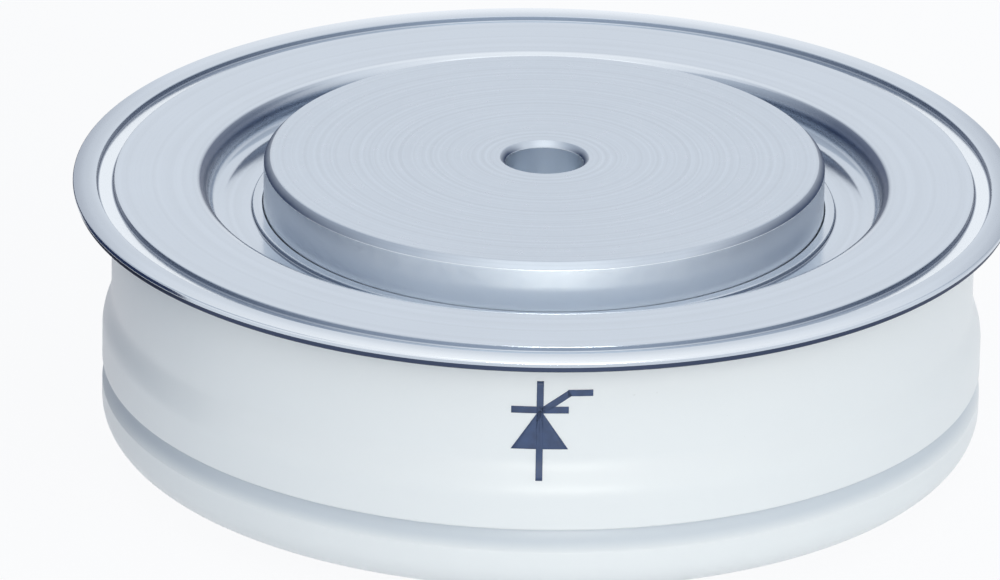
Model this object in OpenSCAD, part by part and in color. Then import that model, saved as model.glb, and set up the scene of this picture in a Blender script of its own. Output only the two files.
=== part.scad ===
// Disc thyristor: a silicon wafer held between two copper poles in a flat capsule of ceramic and sheet metal.
// The origin is the centre of the anode contact face. +Z points to the cathode face and +Y to the gate.

/* [Capsule] */
// Diameter over the welded rim
rim_d = 42; // [38:0.5:48]
// Diameter of each contact face
contact_d = 25; // [22:0.25:28]
// Thickness of the flange sheet
sheet_t = 0.25; // [0.2:0.05:0.3]
// How far the cathode face stands above the rim
cathode_stand = 1.1; // [0.8:0.1:2.5]
// How far the ceramic ring stands above the anode face
base_lift = 1.2; // [0.9:0.1:2.5]
// Radial clearance between pieces that slip together
fit = 0.05; // [0.02:0.01:0.1]

/* [Ceramic ring] */
// Height of the ceramic ring
ceramic_h = 11.2; // [10.8:0.1:14]
// Gap between the trough's wall and the ceramic's bore
bore_gap = 0.95; // [0.6:0.05:1.5]
// Wall of the ceramic ring at the waist below the rim
ceramic_wall = 3.05; // [2.6:0.05:4]
// How far the lip and the foot band below it stand out from the waist
lip_out = 0.4; // [0.15:0.05:0.6]
// Height of the lip's edge above the ceramic's lower face
lip_h = 3.2; // [2.9:0.1:4]
// Height of the straight land above the lip's edge
land_h = 1.5; // [0.4:0.1:2]
// Height of the flare from the land up to the waist
flare_h = 1.8; // [1.2:0.1:4]
// Height of the creepage groove below the lip's edge
groove_h = 1.05; // [0.7:0.05:1.4]
// Depth of the creepage groove
groove_depth = 0.5; // [0.2:0.05:0.6]
// Radius of the foot band's lower edge
foot_r = 1.4; // [0.6:0.1:1.6]

/* [Flanges] */
// Width of the flat rim outside the weld groove
rim_margin = 1.05; // [0.6:0.05:1.5]
// Width of the cold weld groove pressed into the rim
weld_w = 0.8; // [0.5:0.05:1.2]
// Depth of the weld groove
weld_depth = 0.25; // [0.15:0.05:0.3]
// Depth of the flexing trough round the cathode pole
trough_depth = 1.35; // [1.2:0.05:1.7]
// Width of the trough from the pole to its outer wall
trough_w = 2.5; // [2.2:0.05:2.6]
// Radius where the trough's wall meets its floor
trough_foot_r = 0.65; // [0.4:0.05:0.7]
// Radius of the rolled mouth of the trough
trough_mouth_r = 0.6; // [0.4:0.05:0.7]
// Width of the raised collar round the pole's foot
collar_w = 0.5; // [0.3:0.05:0.8]
// Rise of the collar above the trough's floor
collar_rise = 0.2; // [0.1:0.05:0.4]
// Gap between the trough's mouth and the weld ring's inner edge
weld_ring_gap = 0.1; // [0.05:0.05:0.6]
// How far the weld ring's edge stays inside the rim's edge
rim_step = 0.1; // [0:0.05:0.3]
// Width of the anode flange that is brazed below the ceramic
anode_seam_w = 1.6; // [1:0.1:1.9]

/* [Poles] */
// Width of the hidden shoulder round each pole
shoulder_w = 0.7; // [0.5:0.05:0.8]
// Height of the anode pole
anode_pole_h = 4.6; // [4.2:0.1:5.2]
// Bevel on the edge of each contact face
pole_bevel = 0.3; // [0.1:0.05:0.5]
// Diameter of each centring hole
centring_d = 3.5; // [2.5:0.1:4.5]
// Depth of each centring hole
centring_depth = 2; // [1.5:0.1:2.4]
// Bevel on the mouth of each centring hole
centring_bevel = 0.25; // [0.1:0.05:0.4]

/* [Wafer stack] */
// How far the silicon wafer and the anode plate reach beyond the contact face
wafer_margin = 1.5; // [1.2:0.05:2.2]
// Thickness of the silicon wafer
wafer_t = 0.4; // [0.3:0.05:0.7]
// Width of the bevel ground on the wafer's edge
wafer_bevel = 0.5; // [0.3:0.05:0.7]
// Thickness of the anode's molybdenum plate
anode_plate_t = 1.8; // [1.4:0.1:2.2]
// Thickness of the cathode's molybdenum plate
cathode_plate_t = 0.5; // [0.4:0.05:0.8]
// Thickness of each silver contact foil
foil_t = 0.1; // [0.08:0.01:0.15]
// Diameter of the gate opening in the cathode plate and foil
gate_window_d = 4.4; // [3.8:0.1:5]
// Rise of the rubber edge seal above the wafer
seal_rise = 0.4; // [0.25:0.05:0.5]

/* [Gate] */
// Diameter of the well in the cathode pole
well_d = 6.4; // [6:0.1:7.5]
// Depth of the well
well_depth = 3.4; // [3.2:0.1:3.7]
// Wall and roof thickness of the insulating bush
bush_wall = 0.9; // [0.6:0.05:1]
// Diameter of the pin's foot on the wafer
pin_foot_d = 2.4; // [1.8:0.1:2.8]
// Diameter of the pin's head
pin_head_d = 3.4; // [3:0.1:3.8]
// Thickness of the pin's head
pin_head_t = 1.1; // [1:0.05:1.3]
// Diameter of the stem that guides the spring
pin_stem_d = 1.5; // [1:0.1:1.7]
// Length of the stem
pin_stem_h = 0.7; // [0.4:0.1:0.9]
// Diameter of the spring's wire
spring_wire_d = 0.3; // [0.2:0.02:0.36]
// Number of turns of the spring
spring_turns = 2.5; // [2:0.25:2.75]
// Height of the lead above the cathode pole's inner face
lead_rise = 0.85; // [0.83:0.01:0.95]
// Diameter of the gate lead
lead_d = 0.7; // [0.5:0.05:0.75]
// Wall of the lead's sleeve
sleeve_wall = 0.35; // [0.25:0.05:0.4]
// Wall of the gate tube
tube_wall = 0.6; // [0.4:0.05:0.8]
// Length of the gate tube outside its collar
tube_reach = 1.3; // [0.8:0.1:1.4]
// Width of the collar round the gate tube
tube_collar_w = 0.8; // [0.5:0.05:1]
// Thickness of the gate tube's collar
tube_collar_t = 0.3; // [0.2:0.05:0.4]
// Depth of the flat ground on the ceramic for the collar
spot_depth = 0.4; // [0.35:0.05:0.6]

/* [Hidden] */
$fn = 96;
// Short extra length that carries a cut clear of the face it opens
cut = 0.5;
rim_r = rim_d / 2;
contact_r = contact_d / 2;
trough_r = contact_r + trough_w;
bore_r = trough_r + sheet_t + bore_gap;
waist_r = bore_r + ceramic_wall;
lip_r = waist_r + lip_out;
wafer_r = contact_r + wafer_margin;
shoulder_r = contact_r + shoulder_w;
// Levels from the anode face up to the cathode face
ceramic_z0 = base_lift;
ceramic_z1 = ceramic_z0 + ceramic_h;
seam_z = ceramic_z1 + sheet_t;
rim_z = seam_z + sheet_t;
cathode_z = rim_z + cathode_stand;
floor_z = rim_z - trough_depth;
shoulder_z = floor_z - sheet_t;
// Levels of the stack from the anode pole up to the cathode pole
anode_plate_z = anode_pole_h + foil_t;
wafer_z = anode_plate_z + anode_plate_t;
cathode_plate_z = wafer_z + wafer_t;
cathode_foil_z = cathode_plate_z + cathode_plate_t;
stack_z = cathode_foil_z + foil_t;
// Radii of the weld groove, of the bead that it presses out below and of the weld ring's bore
weld_r1 = rim_r - rim_margin;
weld_r0 = weld_r1 - weld_w;
bead_r1 = weld_r1 + sheet_t / 2;
bead_r0 = weld_r0 - sheet_t / 2;
bead_z = seam_z - weld_depth / 2;
weld_ring_r = trough_r + trough_mouth_r + weld_ring_gap;
// Gate pieces
well_r = well_d / 2;
bush_r = well_r - fit;
bush_bore_r = bush_r - bush_wall;
well_z = stack_z + well_depth;
bush_roof_z = well_z - bush_wall / 2;
lead_z = stack_z + lead_rise;
pin_head_z = lead_z - pin_head_t / 2;
spring_z = lead_z + pin_head_t / 2;
sleeve_bore_r = lead_d / 2 + fit;
sleeve_r = sleeve_bore_r + sleeve_wall;
tube_bore_r = lead_d / 2 + 2 * fit;
tube_r = tube_bore_r + tube_wall;
collar_y = waist_r - spot_depth;
tube_y0 = bore_r - tube_wall / 2;
tube_y1 = collar_y + tube_collar_t + tube_reach;
tube_bore_y = tube_y1 - tube_wall;

// Points of an arc about a centre, from one angle to another
function arc(centre, r, a0, a1, n = 8) =
    [for (i = [0 : n]) let (a = a0 + (a1 - a0) * i / n) centre + r * [cos(a), sin(a)]];

// Points of an S-curve between two points that leaves and arrives upright
function flare(p, q, n = 12) =
    [for (i = [0 : n]) let (t = i / n) [p.x + (q.x - p.x) * (1 - cos(180 * t)) / 2, p.y + (q.y - p.y) * t]];

// Points of a cove that climbs inwards on an arc from the first point and arrives upright at the second
function cove(p, q, n = 8) =
    let (half = atan2(p.x - q.x, q.y - p.y))
    let (r = (q.y - p.y) / sin(2 * half))
    arc([q.x + r, q.y], r, 180 + 2 * half, 180, n);

// Solid of revolution about the capsule's axis from a radius and height outline
module turned(points) {
    rotate_extrude()
        polygon(points);
}

// Flat disc or washer between two heights
module disc(r, z, t, hole_r = 0) {
    turned([[hole_r, z], [r, z], [r, z + t], [hole_r, z + t]]);
}

// Solid of revolution about the lead's axis, which runs out along +Y
module along_lead(points) {
    translate([0, 0, lead_z])
        rotate([-90, 0, 0])
            rotate_extrude()
                polygon(points);
}

// Slot for the lead, open below and running out from the axis
module lead_slot(half_w, from_z, to_y) {
    translate([-half_w, 0, from_z])
        cube([2 * half_w, to_y, lead_z - from_z]);
    translate([0, 0, lead_z])
        rotate([-90, 0, 0])
            cylinder(r = half_w, h = to_y);
}

// Blind centring hole with a bevelled mouth, drilled up from the plane z = 0
module centring_hole() {
    translate([0, 0, -cut])
        cylinder(d = centring_d, h = centring_depth + cut);
    translate([0, 0, -cut])
        cylinder(r1 = centring_d / 2 + centring_bevel + cut, r2 = centring_d / 2, h = centring_bevel + cut);
}

// Copper pole on the anode side, with the shoulder that the flange is brazed under
module anode_pole() {
    color("#c9d2dc")
        difference() {
            turned([
                [0, 0], [contact_r - pole_bevel, 0], [contact_r, pole_bevel], [contact_r, ceramic_z0],
                [shoulder_r, ceramic_z0], [shoulder_r, anode_pole_h], [0, anode_pole_h]
            ]);
            centring_hole();
        }
}

// Flat sheet ring that closes the capsule between the anode pole and the ceramic
module anode_flange() {
    color("#b9c3ce")
        disc(bore_r + anode_seam_w, ceramic_z0 - sheet_t, sheet_t, contact_r + fit);
}

// Silver foil between the anode pole and its plate
module anode_foil() {
    color("#e4e4e0")
        disc(shoulder_r, anode_pole_h, foil_t);
}

// Molybdenum plate that the wafer is alloyed to
module anode_plate() {
    color("#8d9196")
        disc(wafer_r, anode_plate_z, anode_plate_t);
}

// Silicon wafer with its edge ground to a bevel
module silicon_wafer() {
    color("#4a5260")
        turned([
            [0, wafer_z], [wafer_r, wafer_z], [wafer_r - wafer_bevel, cathode_plate_z], [0, cathode_plate_z]
        ]);
}

// Silicone rubber bead that covers the wafer's bevelled edge
module edge_seal() {
    seal_z = cathode_plate_z + seal_rise;
    inner_r = contact_r + fit;
    color("#b5482f")
        turned([
            [inner_r, cathode_plate_z], [wafer_r - wafer_bevel, cathode_plate_z], [wafer_r, wafer_z],
            [wafer_r, seal_z - seal_rise / 2], [wafer_r - seal_rise / 2, seal_z], [inner_r, seal_z]
        ]);
}

// Insulating ring that centres the anode pole and the plate in the ceramic
module locating_ring() {
    step_z = anode_pole_h;
    color("#f0f0ec")
        turned([
            [shoulder_r + fit, ceramic_z0], [bore_r - fit, ceramic_z0], [bore_r - fit, cathode_plate_z],
            [wafer_r + fit, cathode_plate_z], [wafer_r + fit, step_z], [shoulder_r + fit, step_z]
        ]);
}

// Molybdenum plate on the cathode side, open in the middle for the gate
module cathode_plate() {
    color("#8d9196")
        disc(contact_r, cathode_plate_z, cathode_plate_t, gate_window_d / 2);
}

// Silver foil between the cathode plate and the cathode pole
module cathode_foil() {
    color("#e4e4e0")
        disc(contact_r, cathode_foil_z, foil_t, gate_window_d / 2);
}

// Copper pole on the cathode side, with the gate's well and the slot for its lead
module cathode_pole() {
    color("#c9d2dc")
        difference() {
            turned([
                [0, stack_z], [shoulder_r, stack_z], [shoulder_r, shoulder_z], [contact_r, shoulder_z],
                [contact_r, cathode_z - pole_bevel], [contact_r - pole_bevel, cathode_z], [0, cathode_z]
            ]);
            translate([0, 0, cathode_z])
                mirror([0, 0, 1])
                    centring_hole();
            translate([0, 0, stack_z - cut])
                cylinder(r = well_r, h = well_depth + cut);
            lead_slot(sleeve_r + fit, stack_z - cut, shoulder_r + cut);
        }
}

// Glazed alumina ring: a straight waist flares to a lip, with a groove under it and a round-edged foot band
module ceramic_ring() {
    lip_z = ceramic_z0 + lip_h;
    land_z = lip_z + land_h;
    clear_y = lip_r + cut;
    color("#f1f2f0")
        difference() {
            turned(concat(
                [[bore_r, ceramic_z0]],
                arc([lip_r - foot_r, ceramic_z0 + foot_r], foot_r, -90, 0),
                cove([lip_r, lip_z - groove_h], [lip_r - groove_depth, lip_z]),
                [[lip_r, lip_z]],
                flare([lip_r, land_z], [waist_r, land_z + flare_h]),
                [[waist_r, ceramic_z1], [bore_r, ceramic_z1]]
            ));
            along_lead([[0, 0], [tube_r + fit, 0], [tube_r + fit, clear_y], [0, clear_y]]);
            along_lead([
                [0, collar_y], [tube_r + tube_collar_w + fit, collar_y],
                [tube_r + tube_collar_w + fit, clear_y], [0, clear_y]
            ]);
        }
}

// Sheet ring brazed on the ceramic, the lower half of the cold welded rim
module weld_ring() {
    color("#c3ccd7")
        turned([
            [weld_ring_r, ceramic_z1], [rim_r - rim_step, ceramic_z1], [rim_r - rim_step, seam_z],
            [bead_r1, seam_z], [bead_r1, bead_z], [bead_r0, bead_z], [bead_r0, seam_z],
            [weld_ring_r, seam_z]
        ]);
}

// Drawn sheet diaphragm: a collar on the pole, a flexing trough, a flat and the grooved rim
module cathode_flange() {
    foot = [trough_r - trough_foot_r, floor_z + trough_foot_r];
    mouth = [trough_r + trough_mouth_r, rim_z - trough_mouth_r];
    inner_r = contact_r + fit;
    collar_r = contact_r + collar_w;
    color("#c3ccd7")
        turned(concat(
            [[inner_r, shoulder_z]],
            arc(foot, trough_foot_r + sheet_t, -90, 0),
            arc(mouth, trough_mouth_r - sheet_t, 180, 90),
            [
                [bead_r0, seam_z], [bead_r0, bead_z], [bead_r1, bead_z], [bead_r1, seam_z],
                [rim_r, seam_z], [rim_r, rim_z],
                [weld_r1, rim_z], [weld_r1, rim_z - weld_depth], [weld_r0, rim_z - weld_depth], [weld_r0, rim_z]
            ],
            arc(mouth, trough_mouth_r, 90, 180),
            arc(foot, trough_foot_r, 0, -90),
            [[collar_r, floor_z], [collar_r, floor_z + collar_rise], [inner_r, floor_z + collar_rise]]
        ));
}

// Gate contact pin: a foot on the wafer, a head that takes the lead and a stem inside the spring
module gate_pin() {
    foot_r = pin_foot_d / 2;
    head_r = pin_head_d / 2;
    stem_r = pin_stem_d / 2;
    color("#d9c27a")
        difference() {
            turned([
                [0, cathode_plate_z], [foot_r, cathode_plate_z], [foot_r, pin_head_z], [head_r, pin_head_z],
                [head_r, spring_z], [stem_r, spring_z], [stem_r, spring_z + pin_stem_h],
                [0, spring_z + pin_stem_h]
            ]);
            along_lead([[0, head_r / 2], [sleeve_bore_r, head_r / 2], [sleeve_bore_r, well_r], [0, well_r]]);
        }
}

// Coil spring that presses the gate pin on the wafer, swept as a round wire along a helix
module gate_spring() {
    wire_r = spring_wire_d / 2;
    coil_r = (pin_stem_d / 2 + bush_bore_r) / 2;
    low_z = spring_z + wire_r;
    high_z = bush_roof_z - wire_r;
    sides = 8;
    steps = round(spring_turns * 24);
    rings = [
        for (i = [0 : steps], k = [0 : sides - 1])
        let (turn = 360 * spring_turns * i / steps)
        let (r = coil_r + wire_r * cos(360 * k / sides))
        [r * cos(turn), r * sin(turn), low_z + (high_z - low_z) * i / steps + wire_r * sin(360 * k / sides)]
    ];
    skin = [
        for (i = [0 : steps - 1], k = [0 : sides - 1])
        let (a = i * sides + k)
        let (b = i * sides + (k + 1) % sides)
        [a, a + sides, b + sides, b]
    ];
    near_cap = [for (k = [0 : sides - 1]) k];
    far_cap = [for (k = [sides - 1 : -1 : 0]) steps * sides + k];
    color("#a8adb3")
        polyhedron(rings, concat(skin, [near_cap, far_cap]));
}

// Insulating bush that lines the well and guides the pin and the spring
module gate_bush() {
    color("#e8e2cf")
        difference() {
            turned([
                [0, bush_roof_z], [bush_bore_r, bush_roof_z], [bush_bore_r, stack_z], [bush_r, stack_z],
                [bush_r, well_z], [0, well_z]
            ]);
            lead_slot(sleeve_bore_r, stack_z - cut, well_r + cut);
        }
}

// Silver wire from the gate pin into the gate tube
module gate_lead() {
    color("#dcdcd8")
        along_lead([[0, pin_head_d / 4], [lead_d / 2, pin_head_d / 4], [lead_d / 2, tube_bore_y], [0, tube_bore_y]]);
}

// Insulating sleeve on the lead between the bush and the gate tube
module lead_sleeve() {
    color("#f4f4f0")
        along_lead([[sleeve_bore_r, well_r], [sleeve_r, well_r], [sleeve_r, tube_y0], [sleeve_bore_r, tube_y0]]);
}

// Gate terminal: a tube through the ceramic with a brazed collar and a closed outer end
module gate_tube() {
    collar_r = tube_r + tube_collar_w;
    collar_y1 = collar_y + tube_collar_t;
    color("#c9d2dc")
        along_lead(concat(
            [[tube_bore_r, tube_y0], [tube_r, tube_y0], [tube_r, collar_y], [collar_r, collar_y]],
            [[collar_r, collar_y1], [tube_r, collar_y1]],
            arc([tube_r - tube_wall / 2, tube_y1 - tube_wall / 2], tube_wall / 2, 0, 90, 4),
            [[0, tube_y1], [0, tube_bore_y], [tube_bore_r, tube_bore_y]]
        ));
}

anode_pole();
anode_flange();
anode_foil();
anode_plate();
silicon_wafer();
edge_seal();
locating_ring();
cathode_plate();
cathode_foil();
cathode_pole();
ceramic_ring();
weld_ring();
cathode_flange();
gate_pin();
gate_spring();
gate_bush();
gate_lead();
lead_sleeve();
gate_tube();
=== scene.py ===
"""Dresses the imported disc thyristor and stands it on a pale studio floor.

Lengths are in millimetres until a mesh or a lamp is made; the frame itself is in metres.
"""

import logging
import math
from dataclasses import dataclass, field
from enum import Enum

import bpy
import numpy as np
from mathutils import Matrix, Vector


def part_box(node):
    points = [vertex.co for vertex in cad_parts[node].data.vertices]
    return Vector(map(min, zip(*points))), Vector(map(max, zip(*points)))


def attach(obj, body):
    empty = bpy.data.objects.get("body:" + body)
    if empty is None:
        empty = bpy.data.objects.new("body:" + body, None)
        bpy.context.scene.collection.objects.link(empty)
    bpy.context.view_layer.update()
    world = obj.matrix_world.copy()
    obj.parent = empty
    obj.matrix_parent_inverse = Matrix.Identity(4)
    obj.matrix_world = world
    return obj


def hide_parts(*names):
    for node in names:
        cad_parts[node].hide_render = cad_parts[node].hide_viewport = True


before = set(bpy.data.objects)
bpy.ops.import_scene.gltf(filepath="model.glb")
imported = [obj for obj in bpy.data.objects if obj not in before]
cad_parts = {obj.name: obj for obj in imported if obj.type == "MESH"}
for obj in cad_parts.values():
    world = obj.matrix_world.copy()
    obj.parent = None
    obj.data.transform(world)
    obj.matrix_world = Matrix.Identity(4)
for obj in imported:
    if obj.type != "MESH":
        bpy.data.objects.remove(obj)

MM = 0.001
CRISP_ANGLE = math.radians(75.0)
FIT = 0.05
TURNS = 360
ARC_STEPS = 10
LAND = 0.03
SAME_POINT = 1e-5
ON_AXIS = 1e-6
TINY = 1e-9
NOISE_RANGE = (0.3, 0.7)
WHOLE = (0.0, 1.0)
log = logging.getLogger("disc_thyristor")


class Tone(Enum):
    """Colours of the capsule's stuffs, as linear red, green and blue."""

    NICKEL = (0.55, 0.615, 0.70)
    SHEET = (0.57, 0.635, 0.72)
    # Painted highlight: pale tone that brightens the metal where light falls.
    PAINTED_HIGHLIGHT = (0.88, 0.93, 0.98)
    # Painted shade: dark blue tone that stands in for shade and dark reflections on the metal.
    PAINTED_SHADE = (0.030, 0.055, 0.125)
    # Painted shadow: near-black tone of the lower rim sheet, which draws the dark line under the rim.
    RIM_SHADOW = (0.055, 0.072, 0.125)
    GLAZE = (0.86, 0.88, 0.90)
    # Painted shadow under the ceramic's lip, in its groove.
    LIP_SHADOW = (0.50, 0.56, 0.64)
    BARE_ALUMINA = (0.80, 0.80, 0.78)
    INK = (0.030, 0.055, 0.13)
    SILVER = (0.86, 0.85, 0.82)
    MOLYBDENUM = (0.40, 0.41, 0.43)
    SILICON = (0.10, 0.12, 0.15)
    SEAL = (0.46, 0.09, 0.05)
    INSULATOR = (0.80, 0.79, 0.73)
    BRASS = (0.72, 0.55, 0.22)
    STEEL = (0.45, 0.46, 0.48)


class Marks(Enum):
    """Rings that the last tool left on a metal face: rings per metre, their tilt and their tone."""

    FACED = (5200.0, 0.10, 0.05)
    DRAWN = (2600.0, 0.05, 0.03)
    NONE = (0.0, 0.0, 0.0)


class Shader:
    """Short hand for wiring the nodes of one material."""

    def __init__(self, name: str) -> None:
        """Starts an empty material.

        Args:
            name: the material's name.
        """
        self.material = bpy.data.materials.new(name)
        self.material.use_nodes = True
        self.tree = self.material.node_tree
        self.tree.nodes.clear()

    def node(self, kind: str, inputs: dict, **settings: object) -> bpy.types.Node:
        """Adds a node, sets it up and feeds its sockets.

        Args:
            kind: Blender's node type without the leading word Shader.
            inputs: socket name or number to a value, or to the socket that feeds it.
            settings: the node's own options.

        Returns:
            The new node.
        """
        made = self.tree.nodes.new("Shader" + kind)
        for key, value in settings.items():
            setattr(made, key, value)
        for key, value in inputs.items():
            if isinstance(value, bpy.types.NodeSocket):
                self.tree.links.new(value, made.inputs[key])
            else:
                made.inputs[key].default_value = value
        return made

    def place(self) -> bpy.types.NodeSocket:
        """The point being shaded, in the frame's own metres."""
        return self.node("NodeTexCoord", {}).outputs["Object"]

    def clouds(self, scale: float, detail: float = 3.0) -> bpy.types.NodeSocket:
        """Soft noise between 0 and 1.

        Args:
            scale: features per metre.
            detail: octaves of finer noise.

        Returns:
            The noise value's socket.
        """
        noise = self.node("NodeTexNoise", {"Vector": self.place(), "Scale": scale, "Detail": detail})
        return noise.outputs["Fac"]

    def rings(self, scale: float) -> bpy.types.NodeSocket:
        """Noise that depends on the distance from the capsule's axis only.

        Args:
            scale: rings per metre.

        Returns:
            The noise value's socket.
        """
        flat = self.node("NodeVectorMath", {0: self.place(), 1: (1.0, 1.0, 0.0)}, operation="MULTIPLY")
        radius = self.node("NodeVectorMath", {0: flat.outputs["Vector"]}, operation="LENGTH")
        inputs = {"W": radius.outputs["Value"], "Scale": scale, "Detail": 2.0}
        return self.node("NodeTexNoise", inputs, noise_dimensions="1D").outputs["Fac"]

    def height(self) -> bpy.types.NodeSocket:
        """Height above the anode face, in metres."""
        return self.node("NodeSeparateXYZ", {"Vector": self.place()}).outputs["Z"]

    def painted_shading(self) -> bpy.types.NodeSocket:
        """The piece's painted shading: above 0 where shade is painted, below 0 where a highlight is
        painted.
        """
        return self.node("NodeAttribute", {}, attribute_name="painted_shading").outputs["Fac"]

    def spread(self, value: bpy.types.NodeSocket, source: tuple, target: tuple) -> bpy.types.NodeSocket:
        """Carries a value from one range into another, held at both ends.

        Args:
            value: the socket to carry over.
            source: low and high end of the range it is read in.
            target: low and high end of the range it is given.

        Returns:
            The result's socket.
        """
        inputs = {"Value": value}
        inputs["From Min"], inputs["From Max"] = source
        inputs["To Min"], inputs["To Max"] = target
        return self.node("NodeMapRange", inputs).outputs["Result"]

    def blend(self, share: bpy.types.NodeSocket, low: object, high: object) -> bpy.types.NodeSocket:
        """Mixes two colours.

        Args:
            share: how much of the second colour shows.
            low: colour, or its socket, at share 0.
            high: colour, or its socket, at share 1.

        Returns:
            The mixed colour's socket.
        """
        return self.node("NodeMix", {0: share, 6: low, 7: high}, data_type="RGBA").outputs[2]

    def bump(self, height: bpy.types.NodeSocket, strength: float, depth: float) -> bpy.types.NodeSocket:
        """Turns a height into a tilted normal.

        Args:
            height: the height's socket.
            strength: how strongly the tilt shows.
            depth: the height's full depth in millimetres.

        Returns:
            The normal's socket.
        """
        made = self.node("NodeBump", {"Height": height, "Strength": strength, "Distance": depth * MM})
        return made.outputs["Normal"]

    def finished(self, inputs: dict) -> bpy.types.Material:
        """Closes the material with one principled surface.

        Args:
            inputs: what feeds the surface's sockets.

        Returns:
            The material.
        """
        surface = self.node("NodeBsdfPrincipled", inputs)
        self.node("NodeOutputMaterial", {"Surface": surface.outputs["BSDF"]})
        return self.material


def shade(tone: Tone, share: float) -> tuple[float, float, float, float]:
    """A tone made lighter or darker, ready for a colour socket.

    Args:
        tone: the colour to start from.
        share: 1 leaves it as it is.

    Returns:
        Red, green, blue and 1.
    """
    r, g, b = tone.value
    return (r * share, g * share, b * share, 1.0)


@dataclass(frozen=True)
class PlatedMetal:
    """Satin metal with a faint drift of tone, the rings of its last tool, and painted shade and highlights
    from the piece's vertex values.
    """

    name: str
    tone: Tone
    roughness: float
    marks: Marks
    drift: float = 0.03
    shade_tone: Tone = Tone.PAINTED_SHADE
    highlight_tone: Tone = Tone.PAINTED_HIGHLIGHT
    roughness_in_shade: float = 2.2
    turned: float = 1.4
    drift_scale: float = 180.0
    grain_scale: float = 2400.0
    grain: float = 0.1
    ring_range: tuple = (0.25, 0.75)
    ring_depth: float = 0.02

    def material(self) -> bpy.types.Material:
        """The node material of this metal."""
        made = Shader(self.name)
        clouds = made.clouds(self.drift_scale)
        colour = made.blend(clouds, shade(self.tone, 1.0 - self.drift), shade(self.tone, 1.0 + self.drift))
        scale, tilt, tone = self.marks.value
        if scale:
            rings = made.rings(scale)
            light = made.spread(rings, self.ring_range, (1.0 - tone, 1.0 + tone))
            scaled = made.node("NodeVectorMath", {0: colour, "Scale": light}, operation="SCALE")
            colour = scaled.outputs["Vector"]
        # Painted shade and highlight: above 0 the vertex value draws the colour towards the painted shade
        # tone, below 0 towards the painted highlight tone.
        painted_shading = made.painted_shading()
        colour = made.blend(made.spread(painted_shading, WHOLE, WHOLE), colour, shade(self.shade_tone, 1.0))
        colour = made.blend(made.spread(painted_shading, (-1.0, 0.0), (1.0, 0.0)), colour, shade(self.highlight_tone, 1.0))
        fine = made.clouds(self.grain_scale, 5.0)
        ends = (self.roughness * (1.0 - self.grain), self.roughness * (1.0 + self.grain))
        rough = made.spread(fine, NOISE_RANGE, ends)
        for end, share in ((1.0, self.roughness_in_shade), (-1.0, self.turned)):
            more = made.spread(painted_shading, (0.0, end), (1.0, share))
            rough = made.node("NodeMath", {0: rough, 1: more}, operation="MULTIPLY").outputs[0]
        inputs = {"Base Color": colour, "Metallic": 1.0, "Roughness": rough}
        if scale:
            inputs["Normal"] = made.bump(rings, tilt, self.ring_depth)
        return made.finished(inputs)


@dataclass(frozen=True)
class GlazedAlumina:
    """White glaze over alumina: slightly uneven, with a few fine specks, dry unglazed end faces and a
    painted shadow in the groove under the lip.
    """

    name: str
    low_z: float
    cloud_scale: float = 110.0
    cloud_shades: tuple = (0.985, 1.01)
    speck_scale: float = 2600.0
    speck_range: tuple = (0.80, 0.83)
    speck_share: float = 0.15
    speck_shade: float = 0.6
    dry_edge: tuple = (0.02, 0.12)
    roughness: tuple = (0.42, 0.6)
    wave_scale: float = 300.0
    wave_tilt: float = 0.06
    wave_depth: float = 0.05

    def material(self) -> bpy.types.Material:
        """The node material of the glazed ring."""
        made = Shader(self.name)
        low, high = self.cloud_shades
        colour = made.blend(made.clouds(self.cloud_scale), shade(Tone.GLAZE, low), shade(Tone.GLAZE, high))
        # Painted shadow: the vertex value darkens the glaze in the groove under the lip.
        colour = made.blend(made.spread(made.painted_shading(), WHOLE, WHOLE), colour, shade(Tone.LIP_SHADOW, 1.0))
        specks = made.spread(made.clouds(self.speck_scale, 1.0), self.speck_range, (0.0, self.speck_share))
        colour = made.blend(specks, colour, shade(Tone.BARE_ALUMINA, self.speck_shade))
        dry_z, glazed_z = ((self.low_z + up) * MM for up in self.dry_edge)
        foot = made.spread(made.height(), (dry_z, glazed_z), (1.0, 0.0))
        colour = made.blend(foot, colour, shade(Tone.BARE_ALUMINA, 1.0))
        rough = made.spread(foot, WHOLE, self.roughness)
        wave = made.bump(made.clouds(self.wave_scale, 2.0), self.wave_tilt, self.wave_depth)
        return made.finished(
            {
                "Base Color": colour,
                "Roughness": rough,
                "IOR": 1.5,
                "Normal": wave,
                "Subsurface Weight": 0.12,
                "Subsurface Radius": (1.0, 1.0, 1.0),
                "Subsurface Scale": 0.6 * MM,
                "Coat Weight": 0.3,
                "Coat Roughness": 0.3,
            }
        )


@dataclass(frozen=True)
class PlainStuff:
    """Stuff of the sealed inner pieces: one tone with a soft mottle."""

    name: str
    tone: Tone
    metallic: float
    roughness: float
    mottle_scale: float = 420.0
    mottle_shades: tuple = (0.92, 1.06)
    grain: float = 0.15

    def material(self) -> bpy.types.Material:
        """The node material of this stuff."""
        made = Shader(self.name)
        mottle = made.clouds(self.mottle_scale, 4.0)
        low, high = self.mottle_shades
        colour = made.blend(mottle, shade(self.tone, low), shade(self.tone, high))
        ends = (self.roughness * (1.0 - self.grain), self.roughness * (1.0 + self.grain))
        rough = made.spread(mottle, NOISE_RANGE, ends)
        return made.finished({"Base Color": colour, "Metallic": self.metallic, "Roughness": rough})


@dataclass(frozen=True)
class InkFilm:
    """Stamped ink that lies a little unevenly on the glaze."""

    name: str
    scale: float = 1500.0
    thin_range: tuple = (0.35, 0.75)
    thinnest: float = 0.35
    thin_shade: float = 2.6
    roughness: tuple = (0.42, 0.55)

    def material(self) -> bpy.types.Material:
        """The node material of the ink."""
        made = Shader(self.name)
        bared = (0.0, self.thinnest)
        thin = made.spread(made.clouds(self.scale, 4.0), self.thin_range, bared)
        colour = made.blend(thin, shade(Tone.INK, 1.0), shade(Tone.INK, self.thin_shade))
        rough = made.spread(thin, bared, self.roughness)
        return made.finished({"Base Color": colour, "Roughness": rough})


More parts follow.
